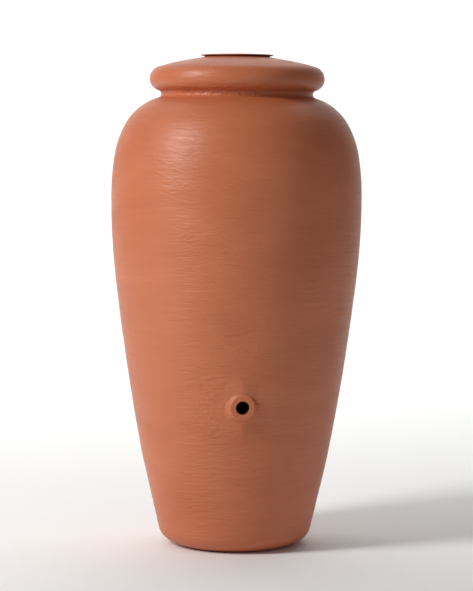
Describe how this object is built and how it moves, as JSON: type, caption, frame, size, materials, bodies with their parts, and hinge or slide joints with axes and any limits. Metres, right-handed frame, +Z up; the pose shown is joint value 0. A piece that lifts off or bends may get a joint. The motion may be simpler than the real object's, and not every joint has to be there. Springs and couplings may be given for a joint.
{
  "type": "rain barrel",
  "caption": "Tall terracotta-coloured plastic rain barrel shaped like a storage jar, with a rolled rim, domed top, turn-lock lid on a seal and a threaded tap boss.",
  "frame": {"origin": "middle of the base, on the ground", "axes": "+Z up along the barrel's axis; the tap boss faces -Y"},
  "size_m": [0.6494, 0.649, 1.272],
  "materials": {
    "vessel": "satin moulded polyethylene, terracotta colour, fine throwing lines",
    "tap_insert": "turned brass, dull",
    "lid_seal": "matt moulded rubber",
    "lid": "satin moulded polyethylene, terracotta colour"
  },
  "bodies": {
    "barrel": {"vessel": "vessel", "tap_insert": "tap_insert"},
    "seal": {"lid_seal": "lid_seal"},
    "lid": {"lid": "lid"}
  },
  "joints": [
    {"name": "lid_lift", "type": "slide", "parent": "barrel", "child": "seal", "axis": [0, 0, 1], "range_m": [0, 0.2]},
    {"name": "lid_turn", "type": "hinge", "parent": "seal", "child": "lid", "pos_m": [0, 0, 1.2672], "axis": [0, 0, -1], "range_deg": [0, 40]}
  ]
}
